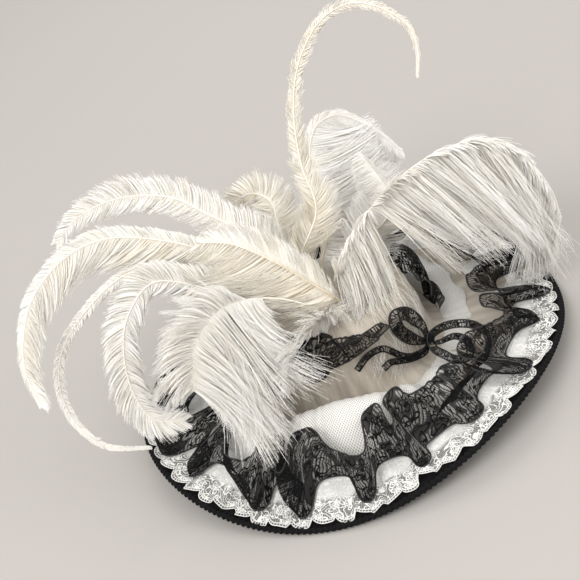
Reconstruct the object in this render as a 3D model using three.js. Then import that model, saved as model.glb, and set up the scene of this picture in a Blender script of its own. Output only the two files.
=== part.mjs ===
// A black wide-brimmed picture hat with a waved brim, trimmed with a pleated chiffon drape,
// tulle, white and black lace ruffles, a lace bow and a spray of ostrich plumes.
// Millimetres, +Z up, the wearer's front towards -Y. The hat stands on its brim.

import * as THREE from "three";
import { mergeVertices } from "three/addons/utils/BufferGeometryUtils.js";

const TURN = Math.PI * 2;
const DEG = Math.PI / 180;

// Driving dimensions

const seatGap = 0.35;
const clothWall = 1.2;
const clothClear = 0.2;
const weldDistance = 1e-4;

const brim = {
  radius: 228.4,
  thickness: 2.5,
  flatRadius: 108,
  swellRadii: [150, 190],
  swell: 13,
  swellPeakAngle: -55 * DEG,
  columns: 72,
};

const braid = { width: 6.4, height: 5.6, sides: 6 };

const crown = {
  headRadius: 88,
  wall: 2.5,
  footRadius: 91.5,
  sideRadius: 86,
  sideHeight: 62,
  shoulderRadius: 80,
  shoulderHeight: 72,
  flatRadius: 66,
  height: 78,
  bendInset: 1,
  shoulderInset: 2,
  columns: 48,
};

const chiffon = {
  pleats: 30,
  pleatDepth: 2.4,
  pleatRoom: 1.2,
  reach: 150,
  topReach: 67,
  clear: 1.4,
  footClear: 2.4,
  footHeight: 10,
  hemStart: 12,
};

const whiteLace = { innerRadius: 166, outerRadius: 214, folds: 33, lift: 7, scallop: 2.5 };

const tulle = {
  puffs: 15,
  innerRadius: 117,
  outerRadius: 151,
  crestHeight: 27,
  puffDepth: 5,
  puffReach: 2,
  hemClear: 0.8,
};

const blackLace = {
  loops: 17,
  outerRadius: 193,
  innerRadius: 158,
  loopDepth: 11,
  overhang: 0.32,
  topHeight: 40,
  topWave: 3,
};

const innerLace = {
  loops: 8,
  radius: 109,
  loopDepth: 7,
  leanIn: 6,
  overhang: 0.25,
  height: 62,
  topWave: 4,
  hemClear: 0.3,
  firstAngle: 30 * DEG,
  lastAngle: 270 * DEG,
};

// The hat is worn tilted, so its barbs fall along this line and not straight down.
const fallLine = new THREE.Vector3(-0.3, -0.5, -0.8).normalize();

// The vanes of the plumes are turned to be seen broad from the front and above.
const showSide = new THREE.Vector3(0, -0.83, 0.56).normalize();

const materials = {
  felt: new THREE.MeshStandardMaterial({ color: 0x0b0a0b, roughness: 0.95, metalness: 0 }),
  braid: new THREE.MeshStandardMaterial({ color: 0x0d0c0e, roughness: 0.7, metalness: 0 }),
  chiffon: new THREE.MeshStandardMaterial({ color: 0xd8cec0, roughness: 0.6, metalness: 0 }),
  whiteLace: new THREE.MeshStandardMaterial({ color: 0xeeece8, roughness: 0.8, metalness: 0 }),
  tulle: new THREE.MeshStandardMaterial({ color: 0xe9e7e2, roughness: 0.8, metalness: 0 }),
  blackLace: new THREE.MeshStandardMaterial({ color: 0x171517, roughness: 0.75, metalness: 0 }),
  plume: new THREE.MeshStandardMaterial({ color: 0xf1ece0, roughness: 0.85, metalness: 0 }),
};

const hat = new THREE.Group();

// Shared ways of making closed bodies

function closedBody(positions, triangles) {
  const geometry = new THREE.BufferGeometry();
  const coordinates = positions.flatMap((p) => [p.x, p.y, p.z]);
  geometry.setAttribute("position", new THREE.Float32BufferAttribute(coordinates, 3));
  geometry.setIndex(triangles.flat());
  if (signedVolume(positions, triangles) < 0) {
    geometry.setIndex(triangles.flatMap(([a, b, c]) => [a, c, b]));
  }
  geometry.computeVertexNormals();
  return geometry;
}

function signedVolume(positions, triangles) {
  const cross = new THREE.Vector3();
  let volume = 0;
  for (const [a, b, c] of triangles) {
    cross.crossVectors(positions[b], positions[c]);
    volume += positions[a].dot(cross) / 6;
  }
  return volume;
}

// Joins rings of points that have the same count. A ring goes out along one face and comes back
// along the other, so both faces are split the same way and an open end is closed by a strip.
function loft(rings, isLoop) {
  const size = rings[0].length;
  const triangles = [];
  const last = isLoop ? rings.length : rings.length - 1;
  for (let i = 0; i < last; i += 1) {
    const next = (i + 1) % rings.length;
    for (let k = 0; k < size; k += 1) {
      const a = i * size + k;
      const b = i * size + ((k + 1) % size);
      const c = next * size + ((k + 1) % size);
      const d = next * size + k;
      if (k < size / 2) {
        triangles.push([a, b, c], [a, c, d]);
      } else {
        triangles.push([a, b, d], [b, c, d]);
      }
    }
  }
  if (!isLoop) {
    closeEnd(triangles, 0, size, true);
    closeEnd(triangles, (rings.length - 1) * size, size, false);
  }
  return closedBody(rings.flat(), triangles);
}

function closeEnd(triangles, first, size, isStart) {
  for (let k = 0; k < size / 2; k += 1) {
    const near = first + k;
    const far = first + ((size - k) % size);
    const nearNext = first + k + 1;
    const farNext = first + size - k - 1;
    if (far !== near) {
      triangles.push(isStart ? [near, far, farNext] : [near, farNext, far]);
    }
    if (nearNext !== farNext) {
      triangles.push(isStart ? [near, farNext, nearNext] : [near, nearNext, farNext]);
    }
  }
}

// A cloth wall of even thickness on a surface given by along and across, each from 0 to 1.
function clothSheet(surface, columns, rows, wall, isLoop) {
  const step = 1e-3;
  const rings = [];
  const ringCount = isLoop ? columns : columns + 1;
  for (let i = 0; i < ringCount; i += 1) {
    const along = i / columns;
    const upper = [];
    const lower = [];
    for (let j = 0; j <= rows; j += 1) {
      const across = j / rows;
      const low = Math.max(across - step, 0);
      const high = Math.min(across + step, 1);
      const alongBy = surface(along + step, across).sub(surface(along - step, across));
      const acrossBy = surface(along, high).sub(surface(along, low));
      const normal = alongBy.cross(acrossBy).normalize().multiplyScalar(wall / 2);
      const middle = surface(along, across);
      upper.push(middle.clone().add(normal));
      lower.push(middle.clone().sub(normal));
    }
    rings.push([...upper, ...lower.reverse()]);
  }
  return loft(rings, isLoop);
}

function polar(radius, angle, height) {
  return new THREE.Vector3(radius * Math.cos(angle), radius * Math.sin(angle), height);
}

function mix(a, b, share) {
  return a + (b - a) * share;
}

function addPiece(name, geometry, material) {
  const piece = new THREE.Mesh(geometry, material);
  piece.name = name;
  hat.add(piece);
}

// Middle of the brim plate: flat round the head, then rising and dipping in three long swells.
function brimHeight(radius, angle) {
  const share = Math.max(0, radius - brim.flatRadius) / (brim.radius - brim.flatRadius);
  return brim.swell * share ** 2 * Math.cos(3 * (angle - brim.swellPeakAngle));
}

// Lowest height at which a sheet's middle clears the top of the brim.
function aboveBrim(radius, angle) {
  return brimHeight(radius, angle) + brim.thickness / 2 + seatGap + clothWall / 2 + clothClear;
}

// Brim and its braid

function brimPlate() {
  const radii = [crown.headRadius, brim.flatRadius, ...brim.swellRadii, brim.radius];
  const rings = [];
  for (let i = 0; i < brim.columns; i += 1) {
    const angle = (i / brim.columns) * TURN;
    const top = radii.map((r) => polar(r, angle, brimHeight(r, angle) + brim.thickness / 2));
    const under = radii.map((r) => polar(r, angle, brimHeight(r, angle) - brim.thickness / 2));
    rings.push([...top, ...under.reverse()]);
  }
  return loft(rings, true);
}

function edgeBraid() {
  const middle = brim.radius + seatGap + braid.width / 2;
  const rings = [];
  for (let i = 0; i < brim.columns; i += 1) {
    const angle = (i / brim.columns) * TURN;
    const ring = [];
    for (let k = 0; k < braid.sides; k += 1) {
      const turn = (k / braid.sides) * TURN;
      const radius = middle + (braid.width / 2) * Math.cos(turn);
      const rise = (braid.height / 2) * Math.sin(turn);
      ring.push(polar(radius, angle, brimHeight(brim.radius, angle) + rise));
    }
    rings.push(ring);
  }
  return loft(rings, true);
}

// Crown: a low hollow cap whose foot stands on the brim round the head opening.

function crownCap() {
  const foot = brim.thickness / 2 + seatGap;
  const outer = [
    [crown.footRadius, foot],
    [crown.sideRadius, crown.sideHeight],
    [crown.shoulderRadius, crown.shoulderHeight],
    [crown.flatRadius, crown.height],
    [0, crown.height],
  ];
  const inner = [
    [0, crown.height - crown.wall],
    [crown.flatRadius - crown.bendInset, crown.height - crown.wall],
    [crown.shoulderRadius - crown.shoulderInset, crown.shoulderHeight - crown.wall],
    [crown.sideRadius - crown.wall, crown.sideHeight - crown.bendInset],
    [crown.footRadius - crown.wall, foot],
  ];
  const profile = [...outer, ...inner, outer[0]].map(([r, z]) => new THREE.Vector2(r, z));
  const geometry = new THREE.LatheGeometry(profile, crown.columns);
  geometry.rotateX(Math.PI / 2);
  geometry.deleteAttribute("normal");
  geometry.deleteAttribute("uv");
  return outwardFacing(mergeVertices(geometry, weldDistance));
}

// Drops the empty triangles on the axis and turns the faces outwards.
function outwardFacing(geometry) {
  const position = geometry.getAttribute("position");
  const positions = [];
  for (let i = 0; i < position.count; i += 1) {
    positions.push(new THREE.Vector3().fromBufferAttribute(position, i));
  }
  const index = geometry.getIndex().array;
  const triangles = [];
  for (let i = 0; i < index.length; i += 3) {
    const [a, b, c] = [index[i], index[i + 1], index[i + 2]];
    if (a !== b && b !== c && c !== a) {
      triangles.push([a, b, c]);
    }
  }
  return closedBody(positions, triangles);
}

// Chiffon drape: from the crown's top, down its side and out over the brim, in radial pleats.

// Out and up are the shares of the pleats' depth that push the cloth outwards and upwards.
function chiffonDrape() {
  const { clear, reach, topReach, pleatRoom } = chiffon;
  const { shoulderRadius, shoulderHeight, sideRadius, sideHeight, footRadius } = crown;
  const onBrim = aboveBrim(reach, 0) - brimHeight(reach, 0);
  const line = [
    { radius: topReach, height: crown.height + clear, out: 0, up: 0.2 },
    { radius: shoulderRadius + clear * 0.7, height: shoulderHeight + clear, out: 0.4, up: 0.4 },
    { radius: sideRadius + clear, height: sideHeight + clear * 0.5, out: 0.6, up: 0.2 },
    { radius: footRadius + chiffon.footClear, height: chiffon.footHeight, out: 0.7, up: 0.3 },
    { radius: footRadius + chiffon.hemStart, height: onBrim, out: 0, up: 1 },
    { radius: reach, height: onBrim, out: 0, up: pleatRoom },
  ];
  const rows = line.length - 1;
  const surface = (along, across) => {
    const angle = along * TURN;
    const place = Math.min(Math.floor(across * rows), rows - 1);
    const share = across * rows - place;
    const [from, to] = [line[place], line[place + 1]];
    const pleat = chiffon.pleatDepth * (0.5 - 0.5 * Math.cos(angle * chiffon.pleats));
    const radius = mix(from.radius, to.radius, share) + pleat * mix(from.out, to.out, share);
    const height = mix(from.height, to.height, share) + pleat * mix(from.up, to.up, share);
    return polar(radius, angle, height + brimHeight(radius, angle));
  };
  return clothSheet(surface, chiffon.pleats * 2, rows, clothWall, true);
}

// Lowest height at which a sheet's middle clears the chiffon's pleats on the brim.
function abovePleats(radius, angle) {
  return aboveBrim(radius, angle) + chiffon.pleatDepth * chiffon.pleatRoom + seatGap;
}

// White lace: gathered, so that its scalloped edge lifts in folds above the brim.

function whiteLaceRuffle() {
  const surface = (along, across) => {
    const angle = along * TURN;
    const fold = 0.5 - 0.5 * Math.cos(angle * whiteLace.folds);
    const scallop = whiteLace.scallop * Math.cos(angle * whiteLace.folds);
    const radius = mix(whiteLace.innerRadius, whiteLace.outerRadius + scallop, across);
    const lift = whiteLace.lift * fold * mix(0.25, 1, across);
    return polar(radius, angle, aboveBrim(radius, angle) + lift);
  };
  return clothSheet(surface, whiteLace.folds * 4, 1, clothWall, true);
}

// Tulle: a ring of puffs whose inner hem lies on the chiffon.

function tulleRuffle() {
  const surface = (along, across) => {
    const angle = along * TURN;
    const puff = Math.cos(angle * tulle.puffs);
    const radius = mix(tulle.innerRadius, tulle.outerRadius + tulle.puffReach * puff, across);
    const hem = abovePleats(radius, angle) + tulle.hemClear;
    const crest = tulle.crestHeight + tulle.puffDepth * puff;
    return polar(radius, angle, mix(hem, crest, Math.sin(across * Math.PI) ** 0.8));
  };
  return clothSheet(surface, tulle.puffs * 4, 3, clothWall, true);
}

// Black lace ribbon, set on edge in loops that overhang each other. Its lower edge leans out.

function blackLaceRuffle() {
  const surface = (along, across) => {
    const phase = along * TURN * blackLace.loops;
    const angle = along * TURN + (blackLace.overhang / blackLace.loops) * Math.sin(2 * phase);
    const middle = mix(blackLace.outerRadius, blackLace.innerRadius, across);
    const radius = middle + blackLace.loopDepth * Math.sin(phase);
    const foot = aboveBrim(radius, angle) + whiteLace.lift + seatGap - clothClear;
    const top = blackLace.topHeight + blackLace.topWave * Math.sin(phase);
    return polar(radius, angle, mix(foot, top, across));
  };
  return clothSheet(surface, blackLace.loops * 8, 1, clothWall, true);
}

// The same lace in smaller loops, standing against the crown from its right back round to its front.

function blackLaceInner() {
  const { loops, loopDepth, firstAngle, lastAngle } = innerLace;
  const sweep = (innerLace.overhang * (lastAngle - firstAngle)) / (loops * TURN);
  const surface = (along, across) => {
    const phase = along * TURN * loops;
    const angle = mix(firstAngle, lastAngle, along) + sweep * Math.sin(2 * phase);
    const loop = loopDepth * mix(0.4, 1, across) * Math.sin(phase);
    const radius = innerLace.radius - innerLace.leanIn * across + loop;
    const foot = abovePleats(radius, angle) + innerLace.hemClear;
    const top = innerLace.height + innerLace.topWave * Math.sin(phase);
    return polar(radius, angle, mix(foot, top, across));
  };
  return clothSheet(surface, loops * 8, 1, clothWall, false);
}

// Bow: a knot at the crown's foot with ribbon loops and tails that start at the knot. A loop
// comes back to it. Each route runs as angle round the crown in degrees, distance from its axis
// and height.

const knot = {
  angle: -37,
  radius: 102,
  height: 21,
  size: 8,
  clear: 0.45,
  gather: 0.35,
  gatherShare: 0.2,
  columns: 10,
  rows: 6,
};

const bowRibbons = [
  {
    name: "bow_loop_right", isLoop: true, width: 10, lean: 0.8,
    route: [[-28, 118, 27], [-25, 134, 44], [-26, 150, 53], [-32, 156, 54], [-36, 146, 50], [-36, 128, 40]],
  },
  {
    name: "bow_loop_crown", isLoop: true, width: 8, lean: 0.2,
    route: [[-20, 102, 27], [-7, 101, 35], [3, 100, 45], [5, 100, 56], [-3, 99, 66], [-15, 99, 64],
      [-26, 100, 49]],
  },
  {
    name: "bow_tail_front", isLoop: false, width: 10, lean: 0.2,
    route: [[-50, 102, 31], [-62, 102, 30], [-72, 101, 38], [-80, 101, 30]],
  },
  {
    name: "bow_tail_low", isLoop: false, width: 10, lean: 0.5,
    route: [[-48, 111, 13], [-60, 109, 14]],
  },
];

function ribbonAlong({ route, width, lean, isLoop }) {
  const centre = polar(knot.radius, knot.angle * DEG, knot.height);
  const points = route.map(([angle, radius, height]) => polar(radius, angle * DEG, height));
  const atKnot = (point) => point.clone().sub(centre).setLength(knot.size + knot.clear).add(centre);
  const ends = isLoop ? [atKnot(points[points.length - 1])] : [];
  const curve = new THREE.CatmullRomCurve3([atKnot(points[0]), ...points, ...ends]);
  const surface = (along, across) => {
    const at = THREE.MathUtils.clamp(along, 0, 1);
    const middle = curve.getPoint(at);
    const tangent = curve.getTangent(at);
    const outward = new THREE.Vector3(middle.x, middle.y, 0).normalize();
    const face = outward.multiplyScalar(1 - lean).add(new THREE.Vector3(0, 0, lean)).normalize();
    const fromKnot = isLoop ? Math.min(at, 1 - at) : at;
    const gathered = width * mix(knot.gather, 1, Math.min(1, fromKnot / knot.gatherShare));
    const aside = face.cross(tangent).normalize().multiplyScalar(gathered * (across - 0.5));
    return middle.addScaledVector(tangent, along - at).add(aside);
  };
  return clothSheet(surface, (curve.points.length - 1) * 3, 1, clothWall, false);
}

function bowKnot() {
  const geometry = new THREE.SphereGeometry(knot.size, knot.columns, knot.rows);
  geometry.deleteAttribute("normal");
  geometry.deleteAttribute("uv");
  const centre = polar(knot.radius, knot.angle * DEG, knot.height);
  geometry.translate(centre.x, centre.y, centre.z);
  return outwardFacing(mergeVertices(geometry, weldDistance));
}

// Plumes: a quill with a vane of locks on each side. Left and right are the lengths of the barbs
// on each side, as seen going out along the quill; roll turns the vane about the quill, and at 90
// both sides fall either side of it like a tent. start and end are how far the barbs lean from
// straight sideways, at the quill and at their tips; hang is how much they lean down the fall line
// and not along the quill. The first point of each route stands on the crown's top.

const quill = { rootRadius: 2.2, tipRadius: 0.9 };
const vane = {
  wall: 1.4,
  stations: 15,
  bareShare: 0.1,
  growShare: 0.22,
  taperShare: 0.72,
  lockNotch: 0.16,
  rootClear: 0.9,
  narrowest: 0.6,
};

const plumes = [
  {
    name: "plume_tall", left: 12, right: 20, roll: 0, start: 35, end: 70, hang: 0,
    route: [[-6, 34, 0], [-4, 34, 112], [34, 44, 155], [40, 70, 197], [57, 104, 240], [83, 126, 276],
      [120, 136, 303], [150, 126, 312], [171, 106, 309], [192, 72, 289], [190, 50, 270], [178, 31, 252]],
  },
  {
    name: "plume_fan", left: 8, right: 36, taper: 0.2, roll: 0, start: 20, end: 50, hang: 0,
    route: [[12, 30, 0], [16, 34, 98], [40, 60, 120], [48, 108, 147], [59, 143, 168], [78, 161, 182],
      [104, 166, 180], [131, 150, 158], [150, 120, 131]],
  },
  {
    name: "plume_fan_inner", left: 30, right: 26, leftFrom: 0.5, taper: 0.5, roll: 0, start: 25, end: 55,
    hang: 0,
    route: [[34, 18, 0], [38, 20, 92], [66, 26, 106], [98, 36, 114], [112, 54, 126], [109, 72, 146],
      [102, 88, 170]],
  },
  {
    name: "plume_right", left: 95, right: 125, leftFrom: 0.38, roll: 90, start: 32, end: 84, hang: 0.9,
    route: [[20, 0, 0], [21, -1, 98], [38, 5, 117], [73, 18, 137], [114, 26, 154], [157, 30, 163],
      [200, 28, 162], [231, 24, 147], [253, 12, 120], [262, -7, 88], [260, -22, 60]],
  },
  {
    name: "plume_front", left: 64, right: 34, taper: 0.6, roll: -10, start: 30, end: 60, hang: 0.5,
    route: [[18, -18, 0], [10, -22, 96], [-4, -16, 116], [-22, -4, 140], [-42, 12, 160], [-62, 28, 173],
      [-88, 44, 179]],
  },
  {
    name: "plume_upper_left", left: 26, right: 26, roll: 0, start: 30, end: 60, hang: 0.2,
    route: [[-16, 14, 0], [-18, 20, 100], [-34, 60, 137], [-69, 109, 166], [-105, 155, 185],
      [-160, 186, 193], [-210, 196, 186], [-241, 190, 171]],
  },
  {
    name: "plume_far_left", left: 32, right: 13, roll: 0, start: 35, end: 62, hang: 0.2,
    route: [[-30, 4, 0], [-36, 12, 104], [-64, 38, 143], [-120, 67, 184], [-176, 80, 210], [-220, 72, 215],
      [-266, 43, 204], [-290, 8, 183], [-299, -14, 163], [-298, -42, 137]],
  },
  {
    name: "plume_slim", left: 9, right: 8, roll: 0, start: 35, end: 65, hang: 0,
    route: [[-38, -8, 0], [-44, -6, 100], [-72, 16, 132], [-123, 46, 161], [-168, 58, 174], [-221, 50, 163],
      [-267, 29, 140], [-284, 6, 113], [-284, -16, 83], [-265, -38, 55], [-224, -52, 40]],
  },
  {
    name: "plume_drop_left", left: 16, right: 18, roll: 20, start: 30, end: 60, hang: 0,
    route: [[-24, -18, 0], [-30, -17, 96], [-70, 2, 118], [-110, 20, 148], [-150, 30, 168], [-188, 16, 152],
      [-208, -6, 124], [-214, -34, 92], [-205, -54, 72], [-178, -64, 62]],
  },
  {
    name: "plume_big_left", left: 90, right: 60, leftFrom: 0.3, taper: 0.5, roll: 60, start: 40, end: 80,
    hang: 0.9,
    route: [[-10, -32, 0], [-11, -33, 96], [-48, -30, 130], [-94, -34, 146], [-128, -46, 134],
      [-146, -62, 116], [-154, -76, 100]],
  },
  {
    name: "plume_front_low", left: 40, right: 34, taper: 0.35, roll: 60, start: 40, end: 80, hang: 0.9,
    route: [[8, -40, 0], [8, -42, 88], [-14, -62, 100], [-40, -82, 98], [-60, -96, 88], [-72, -106, 74]],
  },
  {
    name: "plume_back", left: 20, right: 34, roll: 0, start: 25, end: 55, hang: 0.2,
    route: [[-22, 34, 0], [-24, 42, 96], [-12, 86, 118], [-4, 138, 134], [-20, 166, 137], [-52, 176, 128]],
  },
];

function plumeBody({ route, ...vaneShape }) {
  const points = route.map(([x, y, z]) => new THREE.Vector3(x, y, z || crown.height + vane.rootClear));
  const curve = new THREE.CatmullRomCurve3(points, false, "centripetal");
  const rings = [];
  for (let i = 0; i <= vane.stations; i += 1) {
    const share = i / vane.stations;
    const middle = curve.getPointAt(share);
    const along = curve.getTangentAt(share);
    rings.push(vaneSection(middle, along, share, i, vaneShape));
  }
  return loft(rings, false);
}

function vaneSection(middle, along, share, station, vaneShape) {
  const { left, right, roll, start, end, hang } = vaneShape;
  const { leftFrom = vane.bareShare, taper = vane.taperShare } = vaneShape;
  const flatSide = new THREE.Vector3().crossVectors(along, showSide).normalize();
  const flatFace = new THREE.Vector3().crossVectors(flatSide, along).normalize();
  const side = flatSide.multiplyScalar(Math.cos(roll * DEG));
  side.addScaledVector(flatFace, Math.sin(roll * DEG));
  const ending = Math.sqrt(Math.min(1, (1.02 - share) / (1.02 - taper)));
  const notch = station % 2 ? 1 : 1 - vane.lockNotch;
  const halfQuill = mix(quill.rootRadius, quill.tipRadius, share);

  const wing = (sign, length, firstBarb) => {
    const grown = THREE.MathUtils.clamp((share - firstBarb) / vane.growShare, 0, 1);
    const fullness = Math.sin((grown * Math.PI) / 2) * ending;
    const out = side.clone().multiplyScalar(sign);
    const fall = hang * Math.min(1, share / vane.bareShare);
    const lead = fallLine.clone().multiplyScalar(fall).addScaledVector(along, 1.15 - fall);
    const bend = lead.clone().addScaledVector(out, -lead.dot(out)).normalize();
    const barb = Math.max(length * fullness * notch, halfQuill + vane.narrowest);
    const reach = (part) => {
      const from = start * DEG;
      const turn = (end - start) * DEG;
      const angle = from + turn * part;
      const sideways = (Math.sin(angle) - Math.sin(from)) / turn;
      const forwards = (Math.cos(from) - Math.cos(angle)) / turn;
      return middle.clone().addScaledVector(out, barb * sideways).addScaledVector(bend, barb * forwards);
    };
    const normal = new THREE.Vector3().crossVectors(along, reach(0.5).sub(middle)).normalize();
    return { half: reach(0.5), tip: reach(1), normal: normal.multiplyScalar(sign * vane.wall * 0.5) };
  };

  const rightWing = wing(1, right, vane.bareShare);
  const leftWing = wing(-1, left, leftFrom);
  const quillNormal = new THREE.Vector3().crossVectors(along, side).normalize().multiplyScalar(halfQuill);
  return [
    rightWing.tip,
    rightWing.half.clone().add(rightWing.normal),
    middle.clone().add(quillNormal),
    leftWing.half.clone().add(leftWing.normal),
    leftWing.tip,
    leftWing.half.clone().sub(leftWing.normal),
    middle.clone().sub(quillNormal),
    rightWing.half.clone().sub(rightWing.normal),
  ];
}

// The hat, put together

addPiece("brim", brimPlate(), materials.felt);
addPiece("edge_braid", edgeBraid(), materials.braid);
addPiece("crown", crownCap(), materials.felt);
addPiece("chiffon_drape", chiffonDrape(), materials.chiffon);
addPiece("white_lace_ruffle", whiteLaceRuffle(), materials.whiteLace);
addPiece("tulle_ruffle", tulleRuffle(), materials.tulle);
addPiece("black_lace_ruffle", blackLaceRuffle(), materials.blackLace);
addPiece("black_lace_inner", blackLaceInner(), materials.blackLace);
addPiece("bow_knot", bowKnot(), materials.blackLace);
for (const ribbon of bowRibbons) {
  addPiece(ribbon.name, ribbonAlong(ribbon), materials.blackLace);
}
for (const plume of plumes) {
  addPiece(plume.name, plumeBody(plume), materials.plume);
}

// The origin is the middle of the hat's whole box, on the surface that the brim stands on.
const box = new THREE.Box3().setFromObject(hat, true);
const centre = box.getCenter(new THREE.Vector3());
hat.position.set(-centre.x, -centre.y, -box.min.z);

export default hat;
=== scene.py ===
# Black picture hat: felt body with a braided edge, chiffon, tulle and lace trims, a lace bow
# and twelve ostrich plumes. Sizes are in millimetres about the crown's axis, the brim's middle at 0.
import math
import bmesh
import bpy
import numpy as np
from mathutils import Matrix, Vector


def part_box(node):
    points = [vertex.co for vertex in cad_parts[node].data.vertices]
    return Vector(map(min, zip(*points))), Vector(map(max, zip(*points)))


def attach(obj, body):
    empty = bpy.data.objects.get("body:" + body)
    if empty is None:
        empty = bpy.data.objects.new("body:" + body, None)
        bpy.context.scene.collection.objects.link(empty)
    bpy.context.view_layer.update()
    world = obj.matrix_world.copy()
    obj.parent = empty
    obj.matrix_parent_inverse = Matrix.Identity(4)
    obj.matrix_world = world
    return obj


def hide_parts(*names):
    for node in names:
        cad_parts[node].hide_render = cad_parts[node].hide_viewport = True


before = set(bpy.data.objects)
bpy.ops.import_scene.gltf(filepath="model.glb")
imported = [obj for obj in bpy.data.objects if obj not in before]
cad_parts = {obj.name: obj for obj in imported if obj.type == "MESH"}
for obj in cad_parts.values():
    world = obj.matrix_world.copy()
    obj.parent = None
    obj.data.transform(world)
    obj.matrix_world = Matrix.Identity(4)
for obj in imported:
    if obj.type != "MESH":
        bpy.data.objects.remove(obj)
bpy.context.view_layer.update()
print("frame loaded")

mm = 0.001
degree = math.pi / 180
fullTurn = 2 * math.pi
scene = bpy.context.scene

# footRise: the crown's foot above the middle of the brim's plate; trimmedSide and trimmedTop: the crown with
# its cloth on; edgeFrom: where a plume no longer lies on the brim but may reach down to floorClear
body = dict(brimRadius=228.4, brimWall=2.5, flatRadius=108, swell=13, swellPeak=-55 * degree, headRadius=88,
            crownFoot=91.5, footRise=1.6, crownSide=86, crownHeight=78, crownWall=2.5, trimmedSide=95.0,
            trimmedTop=82.5, edgeFrom=226, floorClear=2.5)
brimLow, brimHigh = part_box("brim")
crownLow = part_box("crown")[0]
hatOrigin = np.array([(brimLow.x + brimHigh.x) / 2, (brimLow.y + brimHigh.y) / 2,
                      crownLow.z - body["footRise"] * mm])
floorHeight = body["floorClear"] - hatOrigin[2] / mm


# Shared tools

def polar(radius, angle, height):
    return np.stack(np.broadcast_arrays(radius * np.cos(angle), radius * np.sin(angle), height), axis=-1)


def mix(a, b, share):
    return a + (b - a) * share


def unit(vectors):
    return vectors / np.maximum(np.linalg.norm(vectors, axis=-1, keepdims=True), 1e-9)


def easeStep(value, low, high):
    share = np.clip((value - low) / (high - low), 0, 1)
    return share * share * (3 - 2 * share)


# vanes and ribbons turn their faces this way, to the front and up
showSide = unit(np.array([0, -0.83, 0.56]))


# 1 near an angle round the hat, falling to 0 past the width
def nearAngle(turn, centre, width, power):
    return np.exp(-(np.angle(np.exp(1j * (turn - centre))) / width) ** power)


# a smooth ripple round the hat, between about -1 and 1, that closes on itself
def wobble(angle, seed, lowest, highest):
    rng = np.random.default_rng(seed)
    waves = np.arange(lowest, highest + 1)
    sizes = rng.uniform(0.5, 1, len(waves))
    phases = rng.uniform(0, fullTurn, len(waves))
    total = sum(s * np.cos(k * angle + p) for k, s, p in zip(waves, sizes, phases))
    return total / np.sqrt(np.sum(sizes ** 2)) * 0.8


def brimHeight(radius, angle):
    share = np.maximum(0, radius - body["flatRadius"]) / (body["brimRadius"] - body["flatRadius"])
    return body["swell"] * share ** 2 * np.cos(3 * (angle - body["swellPeak"]))


def onBrim(radius, angle, clear=0.6):
    return brimHeight(radius, angle) + body["brimWall"] / 2 + clear


# whatever reaches the crown or the brim is laid on it
def settled(lines, clear=9.0):
    radius = np.hypot(lines[..., 0], lines[..., 1])
    angle = np.arctan2(lines[..., 1], lines[..., 0])
    height = lines[..., 2]
    top, side = body["trimmedTop"], body["trimmedSide"]
    inCrown = (radius < side) & (height < top)
    liftIt = inCrown & (top - height < side - radius)
    height = np.where(liftIt, top, height)
    radius = np.where(inCrown & ~liftIt, side, radius)
    floor = onBrim(radius, angle, clear)
    height = np.maximum(height, np.where(radius < body["edgeFrom"], floor, floorHeight))
    return polar(radius, angle, height)


def linked(name, mesh):
    piece = bpy.data.objects.new(name, mesh)
    scene.collection.objects.link(piece)
    return piece


def meshFromArrays(name, points, faces):
    mesh = bpy.data.meshes.new(name)
    mesh.vertices.add(len(points))
    mesh.vertices.foreach_set("co", (points * mm + hatOrigin).astype(np.float32).ravel())
    mesh.loops.add(faces.size)
    mesh.loops.foreach_set("vertex_index", faces.astype(np.int32).ravel())
    mesh.polygons.add(len(faces))
    mesh.polygons.foreach_set("loop_start", np.arange(0, faces.size, faces.shape[1], dtype=np.int32))
    mesh.update(calc_edges=True)
    mesh.shade_smooth()
    return mesh


# points run along, then across; a wrapped side repeats its first row as its last
def gridPiece(name, points, material, wrapAlong=False, wrapAcross=False, flip=False):
    columns, rows = points.shape[:2]
    i, j = np.meshgrid(np.arange(columns - 1), np.arange(rows - 1), indexing="ij")
    cornerI = np.stack([i, i + 1, i + 1, i], axis=-1).reshape(-1, 4)
    cornerJ = np.stack([j, j, j + 1, j + 1], axis=-1).reshape(-1, 4)
    if flip:
        cornerI, cornerJ = cornerI[:, ::-1], cornerJ[:, ::-1]
    keptColumns = columns - 1 if wrapAlong else columns
    keptRows = rows - 1 if wrapAcross else rows
    faces = (cornerI % keptColumns) * keptRows + cornerJ % keptRows
    mesh = meshFromArrays(name, points[:keptColumns, :keptRows].reshape(-1, 3), faces)
    layer = mesh.uv_layers.new(name="UVMap")
    layer.data.foreach_set("uv", clothUv(points)[cornerI, cornerJ].astype(np.float32).ravel())
    mesh.materials.append(material)
    return linked(name, mesh)


# a cloth's own millimetres: along its middle and across it
def clothUv(points):
    columns, rows = points.shape[:2]
    steps = np.linalg.norm(np.diff(points, axis=0), axis=-1).mean(axis=1)
    along = np.concatenate([[0], np.cumsum(steps)])
    across = np.concatenate([[0], np.cumsum(np.linalg.norm(np.diff(points, axis=1), axis=-1).mean(axis=0))])
    return np.stack(np.meshgrid(along, across, indexing="ij"), axis=-1)


def edgeLength(points, row):
    return np.linalg.norm(np.diff(points[:, row], axis=0), axis=-1).sum()


def middleLength(points):
    return edgeLength(points, points.shape[1] // 2)


def acrossLength(points):
    return np.linalg.norm(np.diff(points, axis=1), axis=-1).sum(axis=1).mean()


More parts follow.
